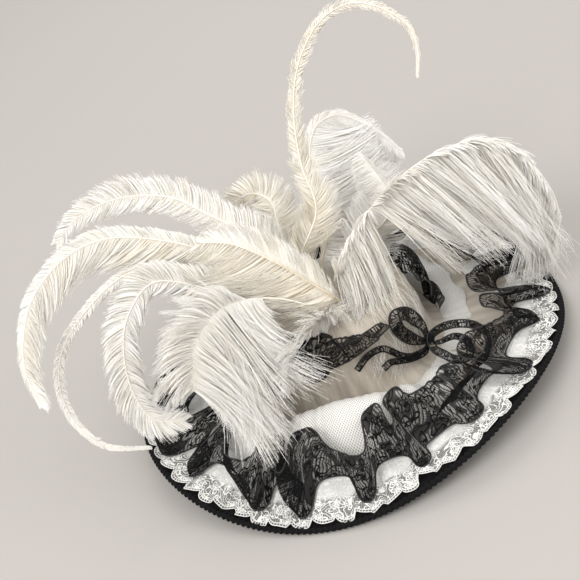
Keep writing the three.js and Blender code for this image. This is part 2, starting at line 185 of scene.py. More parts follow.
# several lines as one mesh of bare edges, with values at their points
def linePiece(name, lines, values, closed=False):
    count, size = lines.shape[:2]
    first = np.arange(count)[:, None] * size
    k = np.arange(size if closed else size - 1)[None, :]
    edges = np.stack([first + k, first + (k + 1) % size], axis=-1).reshape(-1, 2)
    mesh = bpy.data.meshes.new(name)
    mesh.vertices.add(count * size)
    mesh.vertices.foreach_set("co", (lines.reshape(-1, 3) * mm + hatOrigin).astype(np.float32).ravel())
    mesh.edges.add(len(edges))
    mesh.edges.foreach_set("vertices", edges.astype(np.int32).ravel())
    for title, data in values.items():
        isVector = np.ndim(data) == 3
        spread = np.broadcast_to(data, (count, size, 3) if isVector else (count, size))
        layer = mesh.attributes.new(title, "FLOAT_VECTOR" if isVector else "FLOAT", "POINT")
        layer.data.foreach_set("vector" if isVector else "value", spread.astype(np.float32).ravel())
    mesh.update()
    return linked(name, mesh)


def joinLines(name, pieces):
    bpy.context.view_layer.update()
    with bpy.context.temp_override(active_object=pieces[0], selected_editable_objects=pieces):
        bpy.ops.object.join()
    pieces[0].name = name
    return pieces[0]


# closes a seam or a pole where points lie on each other, and turns every face outwards
def weld(piece):
    build = bmesh.new()
    build.from_mesh(piece.data)
    bmesh.ops.remove_doubles(build, verts=build.verts, dist=1e-6)
    bmesh.ops.dissolve_degenerate(build, edges=build.edges, dist=1e-7)
    bmesh.ops.recalc_face_normals(build, faces=build.faces)
    build.to_mesh(piece.data)
    build.free()


# a smooth curve through the route's points that doesn't overshoot close ones, resampled to even steps
def smoothRoute(route, count, stepsBetween=40):
    points = np.array(route, float)
    padded = np.vstack([2 * points[0] - points[1], points, 2 * points[-1] - points[-2]])
    share = np.linspace(0, 1, stepsBetween, endpoint=False)[:, None]
    dense = []
    for p0, p1, p2, p3 in zip(padded, padded[1:], padded[2:], padded[3:]):
        d0, d1, d2 = (max(np.linalg.norm(b - a), 1e-4) ** 0.5 for a, b in ((p0, p1), (p1, p2), (p2, p3)))
        out = ((p1 - p0) / d0 - (p2 - p0) / (d0 + d1) + (p2 - p1) / d1) * d1
        into = ((p2 - p1) / d1 - (p3 - p1) / (d1 + d2) + (p3 - p2) / d2) * d1
        bend = -3 * p1 + 3 * p2 - 2 * out - into
        twist = 2 * p1 - 2 * p2 + out + into
        dense.append(p1 + out * share + bend * share ** 2 + twist * share ** 3)
    dense = np.vstack(dense + [points[-1:]])
    length = np.concatenate([[0], np.cumsum(np.linalg.norm(np.diff(dense, axis=0), axis=1))])
    at = np.linspace(0, length[-1], count)
    even = np.stack([np.interp(at, length, dense[:, k]) for k in range(3)], axis=1)
    return even, unit(np.gradient(even, axis=0))


# the piece moves with the hat and stands for the plain solid that node names, which is hidden
def dress(piece, node=None):
    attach(piece, "root")
    if node:
        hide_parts(node)


# Geometry Nodes

def newTree(name, inputs):
    tree = bpy.data.node_groups.new(name, "GeometryNodeTree")
    tree.interface.new_socket("Geometry", in_out="INPUT", socket_type="NodeSocketGeometry")
    for title, kind in inputs:
        tree.interface.new_socket(title, in_out="INPUT", socket_type="NodeSocket" + kind)
    tree.interface.new_socket("Geometry", in_out="OUTPUT", socket_type="NodeSocketGeometry")
    return tree, tree.nodes.new("NodeGroupInput"), tree.nodes.new("NodeGroupOutput")


def feed(tree, socket, value):
    if isinstance(value, bpy.types.NodeSocket):
        tree.links.new(value, socket)
    else:
        socket.default_value = value


def addNode(tree, kind, settings=None, **sockets):
    node = tree.nodes.new(kind)
    for title, value in (settings or {}).items():
        setattr(node, title, value)
    for title, value in sockets.items():
        feed(tree, node.inputs[title.replace("_", " ")], value)
    return node


def finishTree(tree, geometry, material, outputNode):
    realized = addNode(tree, "GeometryNodeRealizeInstances", Geometry=geometry)
    smooth = addNode(tree, "GeometryNodeSetShadeSmooth", Geometry=realized.outputs[0])
    dressed = addNode(tree, "GeometryNodeSetMaterial", Geometry=smooth.outputs[0], Material=material)
    tree.links.new(dressed.outputs[0], outputNode.inputs[0])


def attributeOf(tree, name, kind="FLOAT"):
    node = tree.nodes.new("GeometryNodeInputNamedAttribute")
    node.data_type = kind
    node.inputs["Name"].default_value = name
    return node.outputs["Attribute"]


# a thread round every line, as thick as its points say
def threadTree():
    tree, given, result = newTree("Threads", [("Sides", "Int"), ("Material", "Material")])
    curve = addNode(tree, "GeometryNodeMeshToCurve", Mesh=given.outputs["Geometry"])
    section = addNode(tree, "GeometryNodeCurvePrimitiveCircle", Resolution=given.outputs["Sides"], Radius=mm)
    tube = addNode(tree, "GeometryNodeCurveToMesh", Curve=curve.outputs[0], Profile_Curve=section.outputs[0],
                   Scale=attributeOf(tree, "thick"), Fill_Caps=True)
    finishTree(tree, tube.outputs[0], given.outputs["Material"], result)
    return tree


# a thread with a row of small beads on it, all slanted the same way
def beadedTree():
    inputs = [("Count", "Int"), ("Bead Size", "Vector"), ("Bead Sides", "Int"), ("Bead Rings", "Int"),
              ("Slant", "Float"), ("Core", "Float"), ("Core Sides", "Int"), ("Material", "Material")]
    tree, given, result = newTree("Beaded edge", inputs)
    curve = addNode(tree, "GeometryNodeMeshToCurve", Mesh=given.outputs["Geometry"])
    section = addNode(tree, "GeometryNodeCurvePrimitiveCircle", Resolution=given.outputs["Core Sides"],
                      Radius=given.outputs["Core"])
    core = addNode(tree, "GeometryNodeCurveToMesh", Curve=curve.outputs[0], Profile_Curve=section.outputs[0])
    spots = addNode(tree, "GeometryNodeCurveToPoints", {"mode": "COUNT"}, Curve=curve.outputs[0],
                    Count=given.outputs["Count"])
    slanted = addNode(tree, "ShaderNodeVectorRotate", {"rotation_type": "Z_AXIS"},
                      Vector=spots.outputs["Tangent"], Angle=given.outputs["Slant"])
    turned = addNode(tree, "FunctionNodeAlignRotationToVector", {"axis": "X", "pivot_axis": "Z"},
                     Vector=slanted.outputs[0])
    bead = addNode(tree, "GeometryNodeMeshUVSphere", Segments=given.outputs["Bead Sides"],
                   Rings=given.outputs["Bead Rings"], Radius=mm)
    beads = addNode(tree, "GeometryNodeInstanceOnPoints", Points=spots.outputs["Points"],
                    Instance=bead.outputs[0], Rotation=turned.outputs[0], Scale=given.outputs["Bead Size"])
    joined = tree.nodes.new("GeometryNodeJoinGeometry")
    tree.links.new(core.outputs[0], joined.inputs[0])
    tree.links.new(beads.outputs[0], joined.inputs[0])
    finishTree(tree, joined.outputs[0], given.outputs["Material"], result)
    return tree


# lines of kind 0 are barbs, thin three-sided threads, kind 1 is the quill, and kind 2 are locks of barbs
# that lie flat in the vane, their broad side turned to each point's face direction
def plumeTree():
    inputs = [("Barb Sides", "Int"), ("Quill Sides", "Int"), ("Lock Flatness", "Float"),
              ("Material", "Material")]
    tree, given, result = newTree("Plume", inputs)
    joined = tree.nodes.new("GeometryNodeJoinGeometry")
    flat = addNode(tree, "ShaderNodeCombineXYZ", X=given.outputs["Lock Flatness"], Y=1, Z=1)
    for kind, sides in ((0, "Barb Sides"), (1, "Quill Sides"), (2, None)):
        chosen = addNode(tree, "FunctionNodeCompare", {"data_type": "FLOAT", "operation": "EQUAL"},
                         A=attributeOf(tree, "kind"), B=float(kind), Epsilon=0.1)
        curve = addNode(tree, "GeometryNodeMeshToCurve", Mesh=given.outputs["Geometry"],
                        Selection=chosen.outputs[0]).outputs[0]
        section = addNode(tree, "GeometryNodeCurvePrimitiveCircle", Resolution=4, Radius=mm)
        profile = section.outputs[0]
        if sides:
            tree.links.new(given.outputs[sides], section.inputs["Resolution"])
        else:
            turned = addNode(tree, "GeometryNodeSetCurveNormal", {"mode": "FREE"}, Curve=curve,
                             Normal=attributeOf(tree, "face", "FLOAT_VECTOR"))
            curve = turned.outputs[0]
            pressed = addNode(tree, "GeometryNodeTransform", Geometry=profile, Scale=flat.outputs[0])
            profile = pressed.outputs[0]
        tube = addNode(tree, "GeometryNodeCurveToMesh", Curve=curve, Profile_Curve=profile,
                       Scale=attributeOf(tree, "thick"), Fill_Caps=True)
        tree.links.new(tube.outputs[0], joined.inputs[0])
    finishTree(tree, joined.outputs[0], given.outputs["Material"], result)
    return tree


def runNodes(piece, tree, values):
    modifier = piece.modifiers.new(tree.name, "NODES")
    modifier.node_group = tree
    for item in tree.interface.items_tree:
        if item.in_out == "INPUT" and item.name in values:
            modifier[item.identifier] = values[item.name]
    depsgraph = bpy.context.evaluated_depsgraph_get()
    made = bpy.data.meshes.new_from_object(piece.evaluated_get(depsgraph), preserve_all_data_layers=True,
                                           depsgraph=depsgraph)
    piece.modifiers.clear()
    piece.data = made
    made.name = piece.name
    return piece


# Materials

def newMaterial(name, **sockets):
    material = bpy.data.materials.new(name)
    material.use_nodes = True
    tree = material.node_tree
    tree.nodes.clear()
    shader = addNode(tree, "ShaderNodeBsdfPrincipled", **sockets)
    output = tree.nodes.new("ShaderNodeOutputMaterial")
    tree.links.new(shader.outputs[0], output.inputs["Surface"])
    return material, tree, shader


def calc(tree, operation, *values):
    node = tree.nodes.new("ShaderNodeMath")
    node.operation = operation
    for socket, value in zip(node.inputs, values):
        feed(tree, socket, value)
    return node.outputs[0]


def calc3(tree, operation, *values):
    node = tree.nodes.new("ShaderNodeVectorMath")
    node.operation = operation
    for socket, value in zip(node.inputs, values):
        feed(tree, socket, value)
    return node.outputs[0]


def highest(tree, *values):
    top = values[0]
    for value in values[1:]:
        top = calc(tree, "MAXIMUM", top, value)
    return top


# 0 at low and 1 at high, with a soft start and end
def rampBetween(tree, value, low, high):
    node = addNode(tree, "ShaderNodeMapRange", {"interpolation_type": "SMOOTHSTEP"}, Value=value,
                   From_Min=low, From_Max=high)
    return node.outputs[0]


# 1 on the line where value is 0, falling to 0 over the line's half width
def lineAt(tree, value, halfWidth, soft=0.35):
    away = calc(tree, "ABSOLUTE", value)
    return rampBetween(tree, away, halfWidth * (1 + soft), halfWidth * (1 - soft))


def colourMix(tree, share, first, second):
    node = tree.nodes.new("ShaderNodeMix")
    node.data_type = "RGBA"
    tree.links.new(share, node.inputs[0])
    node.inputs[6].default_value = (*first, 1)
    node.inputs[7].default_value = (*second, 1)
    return node.outputs[2]


def bumpOn(tree, shader, height, distance, strength=1.0):
    bump = addNode(tree, "ShaderNodeBump", Height=height, Distance=distance, Strength=strength)
    tree.links.new(bump.outputs[0], shader.inputs["Normal"])


def feltFinish():
    look = dict(dark=(0.004, 0.0035, 0.004), light=(0.011, 0.010, 0.0105), fibre=1400, nap=160)
    material, tree, shader = newMaterial("black felt", Roughness=1.0, Specular_IOR_Level=0.08)
    place = tree.nodes.new("ShaderNodeTexCoord").outputs["Object"]
    fibre = addNode(tree, "ShaderNodeTexNoise", Vector=place, Scale=look["fibre"], Detail=3.0)
    nap = addNode(tree, "ShaderNodeTexNoise", Vector=place, Scale=look["nap"], Detail=4.0)
    tone = calc(tree, "MULTIPLY", fibre.outputs[0], nap.outputs[0])
    tree.links.new(colourMix(tree, rampBetween(tree, tone, 0.1, 0.45), look["dark"], look["light"]),
                   shader.inputs["Base Color"])
    bumpOn(tree, shader, fibre.outputs[0], 0.0006, 0.6)
    return material


def braidFinish():
    look = dict(dark=(0.004, 0.004, 0.005), light=(0.014, 0.013, 0.015), thread=2600)
    material, tree, shader = newMaterial("black braid", Roughness=0.8, Specular_IOR_Level=0.2)
    place = tree.nodes.new("ShaderNodeTexCoord").outputs["Object"]
    thread = addNode(tree, "ShaderNodeTexWave", Vector=place, Scale=look["thread"], Distortion=3.0,
                     Detail=2.0)
    tree.links.new(colourMix(tree, thread.outputs[1], look["dark"], look["light"]),
                   shader.inputs["Base Color"])
    bumpOn(tree, shader, thread.outputs[1], 0.0003)
    return material


# thin crinkled cloth: fine threads both ways and soft creases that run across it, with painted shade in the
# creases
def chiffonFinish():
    look = dict(pale=(0.54, 0.485, 0.415), paintedCreaseShade=(0.36, 0.315, 0.26), threadPitch=0.9, creasePitch=9.0)
    material, tree, shader = newMaterial("beige chiffon", Roughness=0.55, Sheen_Weight=0.35,
                                         Sheen_Roughness=0.4, Specular_IOR_Level=0.35)
    cloth = addNode(tree, "ShaderNodeUVMap", {"uv_map": "UVMap"}).outputs[0]
    parts = addNode(tree, "ShaderNodeSeparateXYZ", Vector=cloth)
    stretched = addNode(tree, "ShaderNodeMapping", Vector=cloth, Scale=(1 / look["creasePitch"], 0.02, 1))
    crease = addNode(tree, "ShaderNodeTexNoise", Vector=stretched.outputs[0], Scale=1.0, Detail=3.0)
    warp = calc(tree, "SINE", calc(tree, "MULTIPLY", parts.outputs[0], fullTurn / look["threadPitch"]))
    weft = calc(tree, "SINE", calc(tree, "MULTIPLY", parts.outputs[1], fullTurn / look["threadPitch"]))
    weave = calc(tree, "MULTIPLY", warp, weft)
    # painted shade: the crease streaks pull the colour towards the darker shade colour; the weave's threads
    # are the cloth's own texture
    shade = calc(tree, "ADD", calc(tree, "MULTIPLY", weave, 0.12), crease.outputs[0])
    tree.links.new(colourMix(tree, rampBetween(tree, shade, 0.3, 0.7), look["paintedCreaseShade"], look["pale"]),
                   shader.inputs["Base Color"])
    bumpOn(tree, shader, shade, 0.0012, 0.5)
    return material


# flowers of five petals, veined leaves between them, and a fine net under both, in the cloth's millimetres
# pull: how far the pattern is drawn out of true; closeTo: where a close weave ends; openFrom: the cut edge
def laceFinish(name, look):
    material, tree, shader = newMaterial(name, Roughness=look["roughness"], Sheen_Weight=look["sheen"],
                                         Specular_IOR_Level=look["gloss"])
    cloth = addNode(tree, "ShaderNodeUVMap", {"uv_map": "UVMap"}).outputs[0]
    drift = addNode(tree, "ShaderNodeTexNoise", Vector=cloth, Scale=0.07, Detail=1.0)
    pulled = calc3(tree, "MULTIPLY_ADD", drift.outputs["Color"], (look["pull"], look["pull"], 0), cloth)
    motif = calc3(tree, "DIVIDE", pulled, (look["flowerPitch"],) * 3)

    flower = addNode(tree, "ShaderNodeTexVoronoi", {"voronoi_dimensions": "2D"}, Vector=motif, Scale=1.0,
                     Randomness=0.55)
    fromHeart = calc3(tree, "SUBTRACT", motif, flower.outputs["Position"])
    heart = addNode(tree, "ShaderNodeSeparateXYZ", Vector=fromHeart)
    turn = calc(tree, "ARCTAN2", heart.outputs[1], heart.outputs[0])
    away = calc(tree, "MULTIPLY", flower.outputs["Distance"], look["flowerPitch"])
    petal = calc(tree, "COSINE", calc(tree, "MULTIPLY", turn, 5.0))
    petalEdge = calc(tree, "MULTIPLY_ADD", petal, look["petalDepth"], look["petalReach"])
    petalCord = lineAt(tree, calc(tree, "SUBTRACT", away, petalEdge), look["cord"])
    ringCord = lineAt(tree, calc(tree, "SUBTRACT", away, calc(tree, "MULTIPLY", petalEdge, 0.5)),
                      look["cord"] * 0.8)
    inPetal = rampBetween(tree, calc(tree, "SUBTRACT", petalEdge, away), 0.0, 0.6)
    centre = rampBetween(tree, away, look["cord"] * 2.6, look["cord"] * 1.8)

    ground = addNode(tree, "ShaderNodeTexNoise", Vector=cloth, Scale=look["scrollScale"], Detail=1.5)
    contour = calc(tree, "PINGPONG", calc(tree, "MULTIPLY", ground.outputs[0], look["scrolls"]), 0.5)
    scrollCord = lineAt(tree, calc(tree, "SUBTRACT", contour, 0.25), look["scrollWidth"])
    vein = addNode(tree, "ShaderNodeTexWave", Vector=pulled, Scale=look["veinScale"], Distortion=6.0,
                   Detail=1.0, Detail_Scale=0.4)
    veinLine = rampBetween(tree, vein.outputs[1], 0.55, 0.75)

    net = addNode(tree, "ShaderNodeTexVoronoi", {"voronoi_dimensions": "2D", "feature": "DISTANCE_TO_EDGE"},
                  Vector=calc3(tree, "DIVIDE", cloth, (look["netPitch"],) * 3), Scale=1.0, Randomness=0.25)
    netLine = rampBetween(tree, net.outputs["Distance"], look["netLine"] * 1.3, look["netLine"] * 0.7)

    cords = highest(tree, petalCord, ringCord, centre, scrollCord)
    filled = calc(tree, "MULTIPLY", inPetal, calc(tree, "MULTIPLY_ADD", veinLine, 0.3, look["fill"]))
    patch = rampBetween(tree, ground.outputs[0], 0.5, 0.53)
    leafFill = calc(tree, "MULTIPLY", calc(tree, "MAXIMUM", veinLine, patch), look["leafFill"])
    opacity = highest(tree, cords, filled, leafFill, calc(tree, "MULTIPLY", netLine, look["netCover"]))
    if "closeTo" in look:
        across = addNode(tree, "ShaderNodeSeparateXYZ", Vector=cloth).outputs[1]
        closeWeave = rampBetween(tree, across, look["closeTo"] + 9, look["closeTo"])
        opacity = highest(tree, opacity, calc(tree, "MULTIPLY", closeWeave, 0.92))
        beforeEdge = rampBetween(tree, across, look["openFrom"] + 0.3, look["openFrom"] - 0.3)
        opacity = calc(tree, "MULTIPLY", opacity, beforeEdge)
    tree.links.new(opacity, shader.inputs["Alpha"])
    tree.links.new(colourMix(tree, cords, look["ground"], look["thread"]), shader.inputs["Base Color"])
    bumpOn(tree, shader, highest(tree, cords, filled), 0.0008, 0.7)
    return material


def tulleFinish():
    look = dict(colour=(0.84, 0.825, 0.79), pitch=1.9, line=0.19, cover=0.5)
    material, tree, shader = newMaterial("white tulle", Roughness=0.6, Sheen_Weight=0.3)
    cloth = addNode(tree, "ShaderNodeUVMap", {"uv_map": "UVMap"}).outputs[0]
    turned = addNode(tree, "ShaderNodeMapping", Vector=cloth, Rotation=(0, 0, 45 * degree))
    parts = addNode(tree, "ShaderNodeSeparateXYZ", Vector=turned.outputs[0])
    lines = []
    for part in parts.outputs[:2]:
        share = calc(tree, "PINGPONG", calc(tree, "DIVIDE", part, look["pitch"]), 0.5)
        lines.append(rampBetween(tree, share, look["line"] * 1.3, look["line"] * 0.7))
    net = highest(tree, *lines)
    tree.links.new(calc(tree, "MULTIPLY_ADD", net, 1 - look["cover"], look["cover"]), shader.inputs["Alpha"])
    shader.inputs["Base Color"].default_value = (*look["colour"], 1)
    bumpOn(tree, shader, net, 0.0004)
    return material


# tone runs from white barbs at 0, through cream, to the brown of a bare quill at 1; a plume's tone key
# shifts it, as painted shade on plume_far_left's left vane and painted light on plume_fan's right vane
def plumeFinish():
    look = dict(tones=[(0.0, (0.93, 0.915, 0.88)), (0.35, (0.85, 0.79, 0.68)), (0.6, (0.74, 0.64, 0.48)),
                       (1.0, (0.36, 0.25, 0.14))])
    material, tree, shader = newMaterial("ostrich plume", Roughness=0.65, Sheen_Weight=0.25,
                                         Sheen_Roughness=0.5, Specular_IOR_Level=0.3, Subsurface_Weight=0.25,
                                         Subsurface_Radius=(1.0, 0.96, 0.88), Subsurface_Scale=0.003)
    tone = addNode(tree, "ShaderNodeAttribute", {"attribute_name": "tone"}).outputs["Fac"]
    place = tree.nodes.new("ShaderNodeTexCoord").outputs["Object"]
    patch = addNode(tree, "ShaderNodeTexNoise", Vector=place, Scale=38.0, Detail=2.0)
    varied = calc(tree, "ADD", tone, calc(tree, "MULTIPLY_ADD", patch.outputs[0], 0.24, -0.1))
    ramp = tree.nodes.new("ShaderNodeValToRGB")
    for index, (at, colour) in enumerate(look["tones"]):
        stop = ramp.color_ramp.elements[index] if index < 2 else ramp.color_ramp.elements.new(at)
        stop.position = at
        stop.color = (*colour, 1)
    feed(tree, ramp.inputs[0], varied)
    feed(tree, shader.inputs["Base Color"], ramp.outputs[0])
    return material


def threadFinish(name, colour, roughness):
    material, tree, shader = newMaterial(name, Roughness=roughness)
    place = tree.nodes.new("ShaderNodeTexCoord").outputs["Object"]
    twist = addNode(tree, "ShaderNodeTexNoise", Vector=place, Scale=900.0, Detail=2.0)
    dim = tuple(0.6 * part for part in colour)
    tree.links.new(colourMix(tree, twist.outputs[0], dim, colour), shader.inputs["Base Color"])
    bumpOn(tree, shader, twist.outputs[0], 0.0003)
    return material


felt = feltFinish()
braidBlack = braidFinish()
whiteThread = threadFinish("white thread", (0.95, 0.94, 0.91), 0.5)
blackThread = threadFinish("black thread", (0.012, 0.011, 0.012), 0.55)
chiffonBeige = chiffonFinish()
whiteLace = laceFinish("white lace", dict(
    ground=(0.76, 0.75, 0.72), thread=(0.86, 0.85, 0.82), roughness=0.5, sheen=0.2, gloss=0.3, pull=9,
    flowerPitch=16, petalReach=5.6, petalDepth=1.8, cord=0.75, scrollScale=0.06, scrolls=5, scrollWidth=0.06,
    veinScale=0.2, netPitch=1.5, netLine=0.16, netCover=0.5, fill=0.12, leafFill=0.1, closeTo=38,
    openFrom=63.6))
blackLace = laceFinish("black lace", dict(
    ground=(0.0035, 0.003, 0.0035), thread=(0.002, 0.002, 0.002), roughness=0.8, sheen=0.0, gloss=0.12,
    pull=9, flowerPitch=27, petalReach=8.5, petalDepth=2.4, cord=1.0, scrollScale=0.06, scrolls=3,
    scrollWidth=0.05, veinScale=0.1, netPitch=1.6, netLine=0.15, netCover=0.5, fill=0.6, leafFill=0.9))
tulleWhite = tulleFinish()
plumeWhite = plumeFinish()
threads = threadTree()
beadedEdge = beadedTree()
plumeNodes = plumeTree()
print("materials and trees ready")


# Camera, from the photograph's side: to the front, well above, and leaning over

def placeCamera():
    view = dict(place=(-26, -1083.6, 838.8), right=(0.904, -0.239, -0.354), up=(0.427, 0.506, 0.750),
                back=(0, -0.829, 0.559), lens=78.83)
    data = bpy.data.cameras.new("camera")
    data.lens = view["lens"]
    data.sensor_width = 36
    data.clip_end = 50
    camera = bpy.data.objects.new("camera", data)
    scene.collection.objects.link(camera)
    axes = Matrix((view["right"], view["up"], view["back"])).transposed()
    place = Vector(hatOrigin + np.array(view["place"]) * mm)
    camera.matrix_world = Matrix.Translation(place) @ axes.to_4x4()
    scene.camera = camera


placeCamera()


# Felt body

def brimPlate():
    size = dict(columns=240, across=17, roundSteps=3)
    inner, outer, half = body["headRadius"], body["brimRadius"], body["brimWall"] / 2
    turn = np.linspace(-math.pi / 2, math.pi / 2, size["roundSteps"] + 2)[1:-1]
    flat = np.linspace(inner + half, outer - half, size["across"])
    radii = np.concatenate([flat, outer - half + half * np.cos(turn), flat[::-1],
                            inner + half - half * np.cos(turn), flat[:1]])
    rises = np.concatenate([0 * flat - half, half * np.sin(turn), 0 * flat + half, -half * np.sin(turn),
                            [-half]])
    angle = np.linspace(0, fullTurn, size["columns"] + 1)[:, None]
    points = polar(radii[None, :], angle, brimHeight(radii[None, :], angle) + rises[None, :])
    return gridPiece("brimFelt", points, felt, wrapAlong=True, wrapAcross=True)


def edgeBraid():
    size = dict(ribs=248, middle=231.2, raised=0.7, ribLong=2.8, ribWide=4.5, ribHigh=3.0, slant=24,
                core=2.6, steps=720)
    angle = np.linspace(0, fullTurn, size["steps"], endpoint=False)
    line = polar(size["middle"], angle, brimHeight(body["brimRadius"], angle) + size["raised"])[None]
    piece = linePiece("edgeBraid", line, {"thick": 1}, closed=True)
    return runNodes(piece, beadedEdge, {
        "Count": size["ribs"], "Bead Size": (size["ribLong"], size["ribWide"], size["ribHigh"]),
        "Bead Sides": 8, "Bead Rings": 5, "Slant": size["slant"] * degree, "Core": size["core"] * mm,
        "Core Sides": 6, "Material": braidBlack})


def crownCap():
    size = dict(columns=120, outside=40, inside=32)
    foot, side, high = body["crownFoot"], body["crownSide"], body["crownHeight"]
    rise, wall = body["footRise"], body["crownWall"]
    outer = smoothRoute([(foot, 0, rise), (88.6, 0, 30), (side, 0, 58), (84, 0, 68), (79, 0, 74.5),
                         (66, 0, high), (33, 0, high), (0, 0, high)], size["outside"])[0]
    inner = smoothRoute([(0, 0, high - wall), (33, 0, high - wall), (65, 0, high - wall), (77, 0, 72),
                         (81.5, 0, 66), (side - wall, 0, 58), (88.6 - wall, 0, 30), (foot - wall, 0, rise)],
                        size["inside"])[0]
    profile = np.vstack([outer, inner, outer[:1]])
    profile[size["outside"] - 1:size["outside"] + 1, 0] = 0  # both routes meet on the axis
    angle = np.linspace(0, fullTurn, size["columns"] + 1)[:, None]
    points = polar(profile[None, :, 0], angle, profile[None, :, 2])
    piece = gridPiece("crownFelt", points, felt, wrapAlong=True, wrapAcross=True)
    weld(piece)
    return piece


dress(brimPlate(), "brim")
dress(edgeBraid(), "edge_braid")
dress(crownCap(), "crown")
print("felt body made")


# Chiffon: one round cloth laid over the crown, its spare width taken up in radial pleats

def chiffonDrape():
    size = dict(columns=640, rows=40, pleats=15, reach=152, rightReach=192, rightAt=2 * degree,
                rightWide=42 * degree, depth=4.6, profile=400)
    angle = np.linspace(0, fullTurn, size["columns"] + 1)[:, None]
    across = np.linspace(0, 1, size["rows"])[None, :]
    toRight = nearAngle(angle, size["rightAt"], size["rightWide"], 2)
    reach = mix(size["reach"], size["rightReach"], toRight) + 2.5 * wobble(angle, 3, 5, 14)
    profile = smoothRoute([(5, 0, 79.2), (40, 0, 79.4), (68, 0, 79.4), (80.4, 0, 76), (86.4, 0, 69),
                           (87.8, 0, 58), (92.4, 0, 24), (97, 0, 9), (106, 0, 3.4), (128, 0, 2.6),
                           (150, 0, 2.6)], size["profile"])[0]
    radius, height = (np.interp(across * (size["profile"] - 1), np.arange(size["profile"]), profile[:, k])
                      for k in (0, 2))
    outer = easeStep(radius, 108, 150)
    radius = radius + outer * (reach - 150)
    wander = 1.5 * wobble(angle, 11, 3, 9)
    pleat = 0.5 - 0.5 * np.cos(size["pleats"] * angle + wander + 0.012 * (radius - 90))
    pleat = pleat ** 0.7 * (0.75 + 0.35 * wobble(angle, 12, 4, 16))
    fine = 0.35 * wobble(angle + 0.0008 * radius, 21, 60, 150) + 0.25 * wobble(angle, 22, 150, 260)
    ripple = size["depth"] * np.clip(pleat, 0, 1.3) + fine
    wall = easeStep(radius, 60, 88)
    flatPart = easeStep(radius, 94, 108)
    onTop = 1 - easeStep(radius, 66, 80)
    radius = radius + ripple * wall * (1 - flatPart) * 0.8
    lift = ripple * (0.5 * onTop * easeStep(radius, 8, 40) + flatPart * (0.9 + 0.7 * outer))
    points = polar(radius, angle, height + lift + brimHeight(radius, angle))
    piece = gridPiece("chiffonDrape", points, chiffonBeige, wrapAlong=True, flip=True)
    return piece, acrossLength(points) + 5


chiffon, chiffonRadius = chiffonDrape()
dress(chiffon, "chiffon_drape")
print("chiffon flat radius", round(chiffonRadius))


# White lace, gathered, its scalloped edge a ladder of two cords

def whiteLaceRuffle():
    size = dict(columns=2016, rows=9, inner=161, outer=226.5, farthest=230, folds=36, lift=6, scallops=62,
                scallop=4.0, cord=0.55, band=2.9, bars=620, barThick=0.45, barHigh=0.4)
    along = np.linspace(0, 1, size["columns"] + 1)[:, None]
    across = np.linspace(0, 1, size["rows"])[None, :]
    turn = along * fullTurn
    phase = size["folds"] * turn + 1.6 * wobble(turn, 31, 3, 12)
    angle = turn + 0.35 / size["folds"] * np.sin(2 * phase) * across
    scallop = size["scallop"] * (np.abs(np.sin(size["scallops"] * turn / 2)) ** 0.8 - 0.6) * 2 * across ** 3
    reach = size["outer"] + 2.5 * wobble(turn, 32, 4, 14)
    radius = np.minimum(mix(size["inner"], reach, across) + scallop, size["farthest"])
    fold = (0.5 - 0.5 * np.cos(phase)) * (0.8 + 0.3 * wobble(turn, 33, 5, 18))
    lift = size["lift"] * np.clip(fold, 0.05, 1.2) * mix(0.3, 1, across ** 1.3) + 0.3 * across
    crimp = 0.35 * wobble(turn, 34, 90, 160) * across
    points = polar(radius, angle, onBrim(radius, angle, 1.0) + lift + crimp)
    piece = gridPiece("whiteLaceRuffle", points, whiteLace, wrapAlong=True)
    edge, inner = points[None, :-1:2, -1], points[None, :-1:2, -2]
    inward = unit(inner - edge)
    cords = [linePiece("laceEdgeCord", edge + inward * back, {"thick": size["cord"]}, closed=True)
             for back in (0, size["band"])]
    rim = runNodes(joinLines("whiteLaceCords", cords), threads, {"Sides": 4, "Material": whiteThread})
    bars = linePiece("whiteLaceBars", edge + inward * size["band"] / 2, {"thick": 1}, closed=True)
    runNodes(bars, beadedEdge, {
        "Count": size["bars"], "Bead Size": (size["barThick"], size["band"] / 2, size["barHigh"]),
        "Bead Sides": 6, "Bead Rings": 3, "Slant": 0.0, "Core": 0.12 * mm, "Core Sides": 3,
        "Material": whiteThread})
    return piece, [rim, bars], points


laceRuffle, laceCords, laceGrid = whiteLaceRuffle()
dress(laceRuffle, "white_lace_ruffle")
for piece in laceCords:
    dress(piece)
print("white lace strip", round(acrossLength(laceGrid)), "x", round(middleLength(laceGrid)))


# Tulle, gathered on both sides into a ring of puffs

